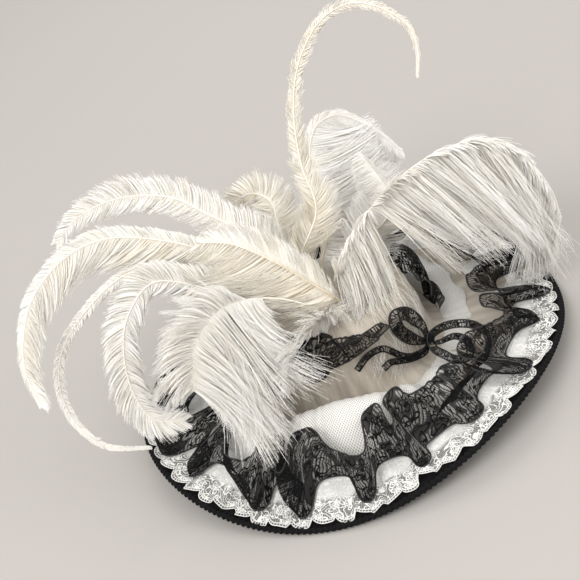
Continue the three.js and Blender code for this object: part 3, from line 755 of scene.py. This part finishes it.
def tulleRuffle():
    size = dict(columns=720, rows=18, puffs=15, inner=110, outer=164, crest=31, clear=4.4, tuck=1.9,
                rightAt=-18 * degree, rightWide=47 * degree, rightLow=0.72, rightDrawnIn=26,
                frontAt=-104 * degree, frontWide=30 * degree, frontRaised=16)
    along = np.linspace(0, 1, size["columns"] + 1)[:, None]
    across = np.linspace(0, 1, size["rows"])[None, :]
    turn = along * fullTurn
    phase = size["puffs"] * turn + 1.3 * wobble(turn, 41, 2, 8)
    puff = 0.5 + 0.5 * np.cos(phase)
    atRight = nearAngle(turn, size["rightAt"], size["rightWide"], 4)
    inFront = nearAngle(turn, size["frontAt"], size["frontWide"], 4)
    crest = size["crest"] * mix(mix(0.5, 0.85, inFront), 1.0, puff) + size["frontRaised"] * inFront
    crest = crest * (1 - size["rightLow"] * atRight) * (1 + 0.12 * wobble(turn, 42, 3, 12))
    tuck = size["tuck"] * wobble(turn, 43, 30, 110) * (1 - np.sin(across * math.pi) * 0.6)
    radius = mix(size["inner"], size["outer"] + 5 * puff, across) - size["rightDrawnIn"] * atRight * across
    radius = radius + 3 * (puff - 0.5) * np.sin(across * math.pi)
    hem = onBrim(radius, turn, size["clear"])
    dome = np.sin(np.clip(across, 0, 1) ** mix(0.85, 0.6, inFront) * math.pi) ** 0.75
    height = mix(hem, np.maximum(crest, hem), dome) + tuck * 0.5
    points = polar(radius, turn + 0.004 * tuck, height)
    piece = gridPiece("tulleRuffle", points, tulleWhite, wrapAlong=True)
    return piece, points


tulle, tulleGrid = tulleRuffle()
dress(tulle, "tulle_ruffle")
print("tulle strip", round(acrossLength(tulleGrid)), "x", round(middleLength(tulleGrid)))


# Black lace ribbon in loops that overhang each other, its outer edge low and its inner edge high

def loopedLace(name, size):
    columns, seed = size["columns"], size["seed"]
    along = np.linspace(0, 1, columns + 1)[:, None]
    across = np.linspace(0, 1, size["rows"])[None, :]
    turn = along * fullTurn
    span = size["last"] - size["first"]
    closed = span > 359 * degree
    ending = easeStep(1 - along, 0, 0.16) * easeStep(along, 0, 0.1)
    ending = 1 if closed else mix(size["endWidth"], 1, ending)
    phase = turn * size["loops"] + size["wander"] * wobble(turn, seed, 4, 13)
    lean = size["twist"] * (across - 0.5) * (1 + 0.8 * wobble(turn, seed + 6, 3, 12))
    swing = np.sin(phase + lean) - size["point"] * np.cos(2 * (phase + lean))
    swing = swing * (1 + 0.38 * wobble(turn, seed + 1, 3, 11)) * ending
    sway = size["overhang"] * (1 + 0.4 * wobble(turn, seed + 5, 3, 12)) * ending
    narrow = size["narrow"] * np.cos(phase + lean) * ending
    angle = size["first"] + along * span + (narrow - sway * np.sin(2 * (phase + lean))) / size["outer"]
    bulge = np.sin(across * math.pi) * size["bulge"] * (1 + 0.5 * wobble(turn, seed + 2, 4, 14)) * ending
    outer, inner, foot, top = size["outer"], size["inner"], 0, size["top"]
    if "climb" in size:
        climb = np.array(size["climb"])
        at = np.degrees(size["first"] + along * span)
        outer, foot, inner, top, roll, calm = (np.interp(at, climb[:, 0], climb[:, k]) for k in range(1, 7))
        swing, bulge = swing * calm, bulge + roll * np.sin(across * math.pi)
    if "fold" in size:
        foldAt, foldWide, further, higher = size["fold"]
        fold = nearAngle(angle, foldAt, foldWide, 2)
        inner, top, swing = inner - further * fold, top + higher * fold, swing * (1 - 0.5 * fold)
    radius = mix(outer, inner, across) + size["depth"] * swing + bulge
    foot = onBrim(radius, angle, size["clear"]) + foot
    top = top + size["rise"] * swing + 4 * wobble(turn, seed + 3, 5, 20) * ending
    middle = (foot + top) / 2
    foot, top = mix(middle, foot, ending), mix(middle, top, ending)
    crinkle = 0.8 * wobble(turn, seed + 4, 60, 140) * np.sin(across * math.pi * 0.5)
    height = mix(foot, top, across ** 0.85) + crinkle + size["bulgeUp"] * bulge
    points = settled(polar(radius, angle, height), size["clearBelow"])
    piece = gridPiece(name, points, blackLace, wrapAlong=closed)
    edges = []
    kept = slice(0, -1) if closed else slice(None)
    for row, side in ((0, "Low"), (-1, "High")):
        thick = np.full((1, len(points[kept])), size["cord"])
        edges.append(linePiece(name + side, points[None, kept, row], {"thick": thick}, closed=closed))
    cord = joinLines(name + "Cords", edges)
    runNodes(cord, threads, {"Sides": 4, "Material": blackThread})
    return piece, cord, points


# fold: the angle and half width of one wide fold, how much further in and how much higher it lies
outerLoops = dict(columns=1440, rows=15, loops=20, seed=51, first=0.0, last=fullTurn, wander=1.5, overhang=4,
                  narrow=5, point=0.12, twist=1.7, outer=198, inner=169, depth=19, bulge=7, bulgeUp=0.35,
                  clear=6, clearBelow=3.5, top=34, rise=-4, cord=0.95, measured=8,
                  fold=(281 * degree, 13 * degree, 24, 12))
# climb: angle in degrees, distance and height of the foot, then of the top, the roll's depth, and the share
# that is left of the swing
innerLoops = dict(columns=800, rows=18, loops=10, seed=61, first=-14 * degree, last=298 * degree, wander=0.6,
                  overhang=7, narrow=2, point=0.1, twist=1.2, outer=113, inner=106, depth=9, bulge=5,
                  bulgeUp=0.9, clear=4.2, clearBelow=3.5, top=61, rise=5, cord=0.85, measured=8,
                  endWidth=0.4,
                  climb=[(-14, 113, 0, 106, 61, 0, 1), (190, 113, 0, 106, 61, 0, 1),
                         (212, 103, 44, 80, 90, 8, 0.7), (232, 99, 54, 66, 92, 14, 0.5),
                         (252, 99, 56, 66, 93, 14, 0.5), (264, 99, 60, 82, 90, 8, 0.4),
                         (282, 98, 64, 90, 86, 2, 0.3), (298, 98, 66, 92, 84, 0, 0.2)])
for name, size, node, under in (("blackLaceRuffle", outerLoops, "black_lace_ruffle", laceRuffle),
                                ("blackLaceInner", innerLoops, "black_lace_inner", chiffon)):
    ribbon, cord, grid = loopedLace(name, size)
    dress(ribbon, node)
    dress(cord)


# Bow of the same lace: routes run as angle round the crown in degrees, distance and height. A ribbon is
# rolled along its length by so many half turns of its cross-section.

knot = dict(angle=-37, radius=102, height=21, size=6)
ribbonShape = dict(steps=160, rows=9, atKnot=0.4, widens=0.25, cord=0.8)
bowRibbons = [
    dict(name="bow_loop_right", isLoop=False, width=10, rolled=0.8,
         route=[(-43, 119, 28), (-40, 136, 31), (-43, 153, 31), (-48.6, 160, 27), (-50.6, 148, 25),
                (-48.5, 130, 24), (-46, 116, 25), (-40, 109, 30), (-35, 119, 33), (-33.5, 136, 34),
                (-35, 154, 34), (-39, 169, 33), (-44, 177, 31), (-49, 176, 28), (-52, 169, 25)]),
    dict(name="bow_loop_crown", isLoop=True, width=14, rolled=0.5,
         route=[(-44, 102, 30), (-52, 100, 48), (-57, 100, 68), (-56, 101, 82), (-49, 102, 76),
                (-42, 102, 56), (-38, 102, 40)]),
    dict(name="bow_tail_front", isLoop=False, width=10, rolled=1.1,
         route=[(-44, 103, 20), (-55, 101, 27), (-61, 99, 36), (-66, 98, 49), (-70, 97, 58), (-75, 97, 62),
                (-82, 98, 62), (-90, 99, 54)]),
    dict(name="bow_tail_low", isLoop=False, width=10, rolled=1.1,
         route=[(-46, 105, 20), (-56, 102, 26), (-65, 101, 36), (-71, 101, 42), (-76, 102, 41)]),
]


def bowRibbon(ribbon):
    steps, rolled = ribbonShape["steps"], ribbon["rolled"]
    centre = polar(knot["radius"], knot["angle"] * degree, knot["height"])
    route = np.array([polar(r, a * degree, h) for a, r, h in ribbon["route"]])
    start, back = (centre + unit(end - centre) * knot["size"] * 0.8 for end in (route[0], route[-1]))
    stops = [start, *route, back] if ribbon["isLoop"] else [start, *route]
    middle, along = smoothRoute(stops, steps)
    share = np.linspace(0, 1, steps)
    outward = unit(middle * (1, 1, 0))
    face = unit(outward * 0.4 + showSide)
    aside = unit(np.cross(face, along))
    fromKnot = np.minimum(share, 1 - share) if ribbon["isLoop"] else share
    width = ribbon["width"] * mix(ribbonShape["atKnot"], 1, easeStep(fromKnot, 0, ribbonShape["widens"]))
    turned = np.linspace(-0.5, 0.5, ribbonShape["rows"]) * rolled * math.pi
    bend = (width / (rolled * math.pi))[:, None, None]
    points = (middle[:, None] + aside[:, None] * bend * np.sin(turned)[None, :, None]
              + face[:, None] * bend * (np.cos(turned) - np.cos(turned[0]))[None, :, None])
    piece = gridPiece(ribbon["name"] + "_lace", points, blackLace)
    cords = [linePiece(ribbon["name"] + side, points[None, :, row], {"thick": ribbonShape["cord"]})
             for row, side in ((0, "Low"), (-1, "High"))]
    cord = joinLines(ribbon["name"] + "_cords", cords)
    runNodes(cord, threads, {"Sides": 5, "Material": blackThread})
    dress(piece, ribbon["name"])
    dress(cord)


# the knot: lace wound over itself, so its ball is creased from side to side
def bowKnot():
    size = dict(turns=48, rows=25, creases=7, crease=0.1, flatY=0.85, flatZ=0.8)
    angle = np.linspace(0, fullTurn, size["turns"] + 1)[:, None]
    tilt = np.linspace(0, math.pi, size["rows"])[None, :]
    crease = size["crease"] * np.cos(size["creases"] * angle + 2 * tilt)
    radius = knot["size"] * (1 + crease * np.sin(tilt))
    level = radius * np.sin(tilt)
    local = np.stack([level * np.cos(angle), level * np.sin(angle) * size["flatY"],
                      radius * np.cos(tilt) * size["flatZ"] + 0 * angle], axis=-1)
    points = local + polar(knot["radius"], knot["angle"] * degree, knot["height"])
    piece = gridPiece("bowKnotLace", points, blackThread, wrapAlong=True, flip=True)
    weld(piece)
    dress(piece, "bow_knot")


for ribbon in bowRibbons:
    bowRibbon(ribbon)
bowKnot()
print("bow made")


# Plumes

# what holds for each plume unless its own entry says otherwise
# route: the quill's points, the first on the crown's top; left, right: the vane's width on each side
# start, end: the barbs' lean along the quill, at their root and tip; closing: how much more at its end
# first, grow, taper: where the vane starts, how soon it is full, and where it narrows; gap: a bare stretch
# roll, rollSpread: how far the vane turns out of the flat, and how unevenly; boost, swell: extra width
# hang, falls: how strongly the barbs hang, and which way from a share of the quill on
# clump, fringe: how barbs draw together and how ragged their ends are; steps: the pieces of a barb
# rollVaries and the like: how much that differs from lock to lock, and from barb to barb
# lockPitch and the like: the flat locks that fill the vane behind the barbs
# tan: the quill's brown; ridge: how far it stands out of the vane; a key may be for one side, as leftStart
plumeShape = dict(
    rootHeight=78.9, quillSteps=241, quillRoot=1.0, quillTip=0.35, ridge=0.9, tan=0.35,
    first=0.03, grow=0.16, taper=0.72, taperPower=0.5, beyondTip=1.02, boost=0, boostEnds=0.26,
    swell=0, swellAt=0.62, swellWide=0.22, gap=(2, 2), shortest=1.5,
    barbRoot=0.34, barbTip=0.14, together=9, roll=0, rollSpread=9, hang=0, falls=[(0, (-0.3, -0.5, -0.8))],
    closing=18, closeFrom=0.6, clump=0.35, fringe=0.12, tone=0, rollVaries=(0.6, 0.6),
    lengthVaries=(0.05, 0.03), startVaries=(4, 3), turnVaries=(7, 5), swayVaries=(0.06, 0.04),
    toneVaries=(0.05, 0.03),
    lockPitch=2.0, lockFirst=0.07, lockReach=0.9, lockWide=0.85, lockStray=0.35, locksTogether=3,
    lockFlat=0.16)

plumes = [
    dict(name="plume_tall", left=11, right=14, first=0, grow=0.03, start=42, end=66, boost=2.6,
         barbs=(650, 650), steps=4, lockReach=0.72, lockWide=0.75, tone=0.2,
         route=[(-6, 34, 0), (-4, 34, 112), (34, 44, 155), (40, 70, 197), (57, 104, 240), (83, 126, 276),
                (120, 136, 303), (150, 126, 312), (171, 106, 309), (192, 72, 289), (190, 50, 270),
                (178, 31, 252)]),
    # plume_fan: its right vane's tone below 0 is painted light, lighter to lift the shade that the plumes in
    # front cast on it
    dict(name="plume_fan", left=20, right=84, taper=0.45, taperPower=0.6, start=4, end=30, leftStart=55,
         leftEnd=84, leftGap=(0.3, 0.54), closing=56, leftClosing=8, closeFrom=0.4, hang=0.1, boost=0.2,
         barbs=(400, 1200), steps=5, tan=1.2, clump=0.12, rollSpread=3, lockReach=0.95, lockWide=0.8,
         rightTone=-0.08,
         route=[(12, 30, 0), (16, 34, 98), (40, 60, 120), (48, 108, 147), (59, 143, 168), (78, 161, 182),
                (104, 166, 180), (131, 150, 158), (150, 120, 131)]),
    dict(name="plume_fan_inner", left=40, right=34, leftFirst=0.15, taper=0.6, start=-4, end=22,
         rightStart=50, rightEnd=82, closing=16, leftClosing=0, rightHang=1, falls=[(0, (0.75, -0.2, -0.5))],
         barbs=(650, 600), steps=5, tan=0.5, clump=0.1, rollSpread=3, lockWide=0.7,
         route=[(34, 18, 0), (38, 20, 92), (66, 26, 106), (98, 36, 114), (112, 54, 126), (109, 72, 146),
                (102, 88, 170)]),
    dict(name="plume_right", left=26, right=132, swell=0.24, leftFirst=0.1, grow=0.1, taper=0.86, roll=62,
         start=34, end=108, leftRoll=-40, leftStart=62, leftEnd=104, rightGap=(0.262, 0.285), closing=30,
         hang=0.9, barbs=(450, 2000), steps=6, clump=0.6, fringe=0.35, rollSpread=19, ridge=2.2,
         lockReach=0.82, lockStray=0.6,
         falls=[(0, (-0.35, -0.5, -0.8)), (0.262, (-0.3, -0.5, -0.8)), (0.285, (0.22, -0.45, -0.8)),
                (0.5, (0.1, -0.5, -0.8)), (0.7, (-0.2, -0.5, -0.8)), (0.87, (-0.8, -0.35, -0.6))],
         route=[(20, 0, 0), (21, -1, 98), (38, 5, 117), (73, 18, 137), (114, 26, 154), (157, 30, 163),
                (200, 28, 162), (231, 24, 147), (253, 12, 120), (262, -7, 88), (260, -22, 60)]),
    dict(name="plume_front", left=78, right=36, taper=0.62, roll=-10, start=28, end=62, rightStart=38,
         rightEnd=62, hang=0.5, rightHang=0, barbs=(750, 600), steps=5, tan=1.4, ridge=2.6, clump=0.1,
         rollSpread=4, lockWide=1.3, lockStray=0.15, leftTone=0.22, rightTone=0.08,
         route=[(18, -18, 0), (10, -22, 96), (-4, -16, 116), (-22, -4, 140), (-42, 12, 160), (-62, 28, 173),
                (-88, 44, 179)]),
    dict(name="plume_upper_left", left=30, right=31, start=28, end=58, hang=0.2, barbs=(560, 560), steps=4,
         clump=0.2, boost=0.6,
         route=[(-16, 14, 0), (-18, 20, 100), (-34, 60, 137), (-69, 109, 166), (-105, 155, 185),
                (-160, 186, 193), (-210, 196, 186), (-241, 190, 171)]),
    # plume_far_left: its left vane's tone is painted shade, the darker underside of the vane in shadow
    dict(name="plume_far_left", left=60, right=19, taper=0.5, start=35, end=62, hang=0.2, barbs=(600, 500),
         steps=4, clump=0.2, leftTone=0.1,
         route=[(-30, 4, 0), (-36, 12, 104), (-64, 38, 143), (-120, 67, 184), (-176, 80, 210),
                (-220, 72, 215), (-266, 43, 204), (-290, 8, 183), (-299, -14, 163), (-298, -42, 137)]),
    dict(name="plume_slim", left=11, right=10, start=35, end=65, barbs=(480, 480), steps=3,
         route=[(-38, -8, 0), (-44, -6, 100), (-72, 16, 132), (-123, 46, 161), (-168, 58, 174),
                (-221, 50, 163), (-267, 29, 140), (-284, 6, 113), (-284, -16, 83), (-265, -38, 55),
                (-224, -52, 40)]),
    dict(name="plume_drop_left", left=28, right=31, taper=0.88, roll=20, start=28, end=62, boost=0.3,
         barbs=(500, 500), steps=4, clump=0.5,
         route=[(-24, -18, 0), (-30, -17, 96), (-70, 2, 118), (-110, 20, 148), (-150, 30, 168),
                (-188, 16, 152), (-208, -6, 124), (-214, -34, 92), (-205, -54, 72), (-178, -64, 62)]),
    dict(name="plume_big_left", left=132, right=50, leftFirst=0.36, rightFirst=0.44, taper=0.9, roll=-12,
         rightRoll=12, start=12, end=52, rightStart=8, rightEnd=56, hang=0.9, rightHang=0.3, ridge=-1.5,
         falls=[(0, (0.45, -0.65, -0.6))], barbs=(1300, 700), steps=5, clump=0.5, fringe=0.4, rollSpread=24,
         lockReach=0.72, lockStray=0.6,
         route=[(-10, -32, 0), (-11, -33, 96), (-48, -30, 130), (-94, -34, 146), (-128, -46, 134),
                (-146, -62, 116), (-154, -76, 100)]),
    dict(name="plume_front_low", left=44, right=46, taper=0.3, roll=60, start=30, end=70, hang=0.9,
         falls=[(0, (-0.6, -0.5, -0.7))], barbs=(550, 550), steps=5, clump=0.6, fringe=0.3, rollSpread=14,
         lockReach=0.6,
         route=[(8, -40, 0), (8, -42, 88), (-14, -62, 100), (-40, -82, 98), (-60, -96, 88),
                (-72, -106, 74)]),
    dict(name="plume_back", left=30, right=36, start=25, end=55, hang=0.2, boost=0.5, barbs=(480, 620),
         steps=4, tone=0.2,
         route=[(-22, 34, 0), (-24, 42, 96), (-12, 86, 118), (-4, 138, 134), (-20, 166, 137),
                (-52, 176, 128)]),
]


def alongQuill(values, share):
    at = share * (len(values) - 1)
    return np.stack([np.interp(at, np.arange(len(values)), values[:, k]) for k in range(3)], axis=1)


# how wide the vane is at each share of the quill, against its full width
def vaneWidth(plume, share, first, gap):
    grown = np.clip((share - first) / plume["grow"], 0, 1)
    narrowing = np.minimum(1, (plume["beyondTip"] - share) / (plume["beyondTip"] - plume["taper"]))
    fullness = np.sin(grown * math.pi / 2) * narrowing ** plume["taperPower"]
    fullness = fullness * (1 + plume["boost"] * np.exp(-(share / plume["boostEnds"]) ** 2))
    fromSwell = (share - plume["swellAt"]) / plume["swellWide"]
    fullness = fullness * (1 + plume["swell"] * np.exp(-fromSwell ** 2))
    return np.where((share > gap[0]) & (share < gap[1]), 0, fullness)


# which way the barbs hang at each share of the quill
def fallAt(plume, share):
    shares, ways = zip(*plume["falls"])
    return np.stack([np.interp(share, shares, [way[k] for way in ways]) for k in range(3)], axis=1)


# one side's barbs or, with asLocks, its locks: their points, thicknesses, tones and broad faces
def barbLines(plume, sign, middles, alongs, rng, asLocks=False):
    side = "right" if sign > 0 else "left"
    keys = ("start", "end", "hang", "first", "roll", "closing", "tone", "gap")
    start, end, hang, first, turnedOut, closing, tintAndShade, gap = (
        plume.get(side + key.capitalize(), plume.get(key)) for key in keys)
    count, together, stray, reach = plume["barbs"][sign > 0], plume["together"], 1.0, 1
    if asLocks:
        quillLength = np.linalg.norm(np.diff(middles, axis=0), axis=1).sum()
        first = max(first, plume["lockFirst"])
        count = int(quillLength * (1 - first) / plume["lockPitch"])
        together, stray, reach = plume["locksTogether"], plume["lockStray"], plume["lockReach"]
    share = first + (1 - first) * (np.arange(count) + rng.random(count)) / count
    base = alongQuill(middles, share)
    along = unit(alongQuill(alongs, share))

    # barbs hold together in locks of a few to a dozen, which lean and curl as one
    lock = np.cumsum(rng.random(count) < 1 / together)
    lock = lock - lock[0]
    locks = lock[-1] + 1
    perLock = rng.normal(size=(locks, 5))[lock]
    starts = np.searchsorted(lock, np.arange(locks))
    leader = ((starts + np.append(starts[1:], count)) // 2)[lock]

    def varied(key, column):
        ofLock, ofBarb = plume[key]
        return ofLock * perLock[:, column] + ofBarb * rng.normal(size=count)

    # out: across the vane from the quill; bend: the way that the barbs lean and hang; face: the vane's face
    flatSide = unit(np.cross(along, showSide))
    flatFace = unit(np.cross(flatSide, along))
    roll = (turnedOut + plume["rollSpread"] * stray * varied("rollVaries", 4))[:, None] * degree
    out = sign * (flatSide * np.cos(roll) + flatFace * np.sin(roll))
    uneven = 1 + varied("lengthVaries", 0)
    uneven = uneven - plume["fringe"] * rng.random(count) ** 2 * (0 if asLocks else 1)
    barb = plume[side] * reach * vaneWidth(plume, share, first, gap) * uneven
    barb = np.maximum(barb, plume["shortest"])[:, None]
    fall = (hang * np.minimum(1, share / 0.1))[:, None]
    lead = unit(fallAt(plume, share)) * fall + along * (1.15 - fall)
    bend = unit(lead - np.sum(lead * out, axis=1, keepdims=True) * out)
    face = np.cross(out, bend)

    # each barb is an arc that starts at its lean and turns further, with a slight sway out of the vane
    part = np.linspace(0, 1, plume["steps"] + 1)[None, :]
    closing = closing * easeStep(share, plume["closeFrom"], 1)
    begin = (start + closing + stray * varied("startVaries", 1))[:, None] * degree
    turn = (end - start - closing * 0.5 + stray * varied("turnVaries", 2))[:, None]
    turn = np.where(np.abs(turn) < 3, 3, turn) * degree * reach
    angle = begin + turn * part
    sideways = (np.sin(angle) - np.sin(begin)) / turn * barb
    forwards = (np.cos(begin) - np.cos(angle)) / turn * barb
    sway = (stray * varied("swayVaries", 3))[:, None] * barb * part ** 1.7
    lines = (base[:, None] + out[:, None] * sideways[..., None] + bend[:, None] * forwards[..., None]
             + face[:, None] * sway[..., None])
    pull = (plume["clump"] * part ** 1.4)[..., None] * (0.5 if asLocks else 1)
    loose = rng.normal(size=(count, 1, 3)) * 0.03 * (barb * part)[..., None]
    lines = settled(lines + pull * (lines[leader] - lines + loose))

    # the plume's own tone key added here is a real tint on most plumes, painted shade on plume_far_left's
    # left vane and painted light on plume_fan's right vane
    tone = varied("toneVaries", 0)[:, None] + 0.1 * np.exp(-(share / 0.3) ** 2)[:, None] + tintAndShade
    if asLocks:
        broad = plume["lockPitch"] * plume["lockWide"] * rng.uniform(0.8, 1.25, count)[:, None]
        shape = np.interp(part, [0, 0.3, 0.7, 1], [0.6, 1.0, 0.85, 0.12])
        faces = np.broadcast_to(face[:, None], lines.shape)
        return lines, np.maximum(broad * shape, 0.2), tone + 0.14 * (1 - part) + 0.04, faces
    thick = mix(plume["barbRoot"], plume["barbTip"], part) * rng.uniform(0.8, 1.2, count)[:, None]
    return lines, thick, tone + 0.1 * (1 - part), np.zeros((1, 1, 3))


def makePlume(entry, seed):
    plume = {**plumeShape, **entry}
    rng = np.random.default_rng(seed)
    route = [(x, y, z or plume["rootHeight"]) for x, y, z in plume["route"]]
    middles, alongs = smoothRoute(route, plume["quillSteps"])
    share = np.linspace(0, 1, plume["quillSteps"])
    thick = mix(plume["quillRoot"], plume["quillTip"], share ** 0.7)
    quillTone = np.clip(plume["tan"] * (1 - share * 1.2), 0.12, 0.66)
    towardsFace = unit(showSide - np.sum(showSide * alongs, axis=1, keepdims=True) * alongs)
    quillAt = middles + towardsFace * plume["ridge"]
    sides = [linePiece(plume["name"] + "_quill", quillAt[None, ::3], {
        "thick": thick[None, ::3], "tone": quillTone[None, ::3], "kind": 1, "face": np.zeros((1, 1, 3))})]
    for sign in (1, -1):
        for kind in (0, 2):
            lines, width, tone, faces = barbLines(plume, sign, middles, alongs, rng, asLocks=kind == 2)
            values = {"thick": width, "tone": tone, "kind": kind, "face": faces}
            sides.append(linePiece(plume["name"] + "_barbs", lines, values))
    piece = joinLines(plume["name"] + "_feather", sides)
    runNodes(piece, plumeNodes, {"Barb Sides": 3, "Quill Sides": 8, "Lock Flatness": plume["lockFlat"],
                                 "Material": plumeWhite})
    dress(piece, plume["name"])
    return len(piece.data.loops) - 2 * len(piece.data.polygons)


faceCounts = [makePlume(entry, 100 + index) for index, entry in enumerate(plumes)]
print("plumes made, triangles", sum(faceCounts), "most", max(faceCounts))


# Floor and light

def studio():
    size = dict(floor=12, floorColour=(0.40, 0.38, 0.357), skyColour=(0.965, 0.95, 0.925), sky=1.04)
    half = size["floor"] / 2
    mesh = bpy.data.meshes.new("floor")
    corners = [(-half, -half, 0), (half, -half, 0), (half, half, 0), (-half, half, 0)]
    mesh.from_pydata(corners, [], [(0, 1, 2, 3)])
    floor = linked("floor", mesh)
    material, tree, shader = newMaterial("pale floor", Roughness=0.85)
    place = tree.nodes.new("ShaderNodeTexCoord").outputs["Object"]
    cloud = addNode(tree, "ShaderNodeTexNoise", Vector=place, Scale=1.5, Detail=2.0)
    pale = size["floorColour"]
    tree.links.new(colourMix(tree, cloud.outputs[0], tuple(0.96 * c for c in pale), pale),
                   shader.inputs["Base Color"])
    mesh.materials.append(material)
    world = bpy.data.worlds.new("studio")
    world.use_nodes = True
    sky = world.node_tree.nodes["Background"]
    sky.inputs[0].default_value = (*size["skyColour"], 1)
    sky.inputs[1].default_value = size["sky"]
    scene.world = world
    lamps = [("key", (-1.1, -1.3, 1.9), 1.4, 36), ("fill", (1.6, -0.8, 1.3), 1.6, 14),
             ("back", (0.2, 1.6, 1.8), 1.2, 14)]
    for name, place, width, power in lamps:
        data = bpy.data.lights.new(name, "AREA")
        data.shape = "SQUARE"
        data.size = width
        data.energy = power
        lamp = bpy.data.objects.new(name, data)
        scene.collection.objects.link(lamp)
        lamp.location = place
        lamp.rotation_mode = "QUATERNION"
        lamp.rotation_quaternion = (Vector(place) - Vector((0, 0, 0.1))).to_track_quat("Z", "Y")


studio()
scene.view_settings.view_transform = "Standard"
print("studio ready")
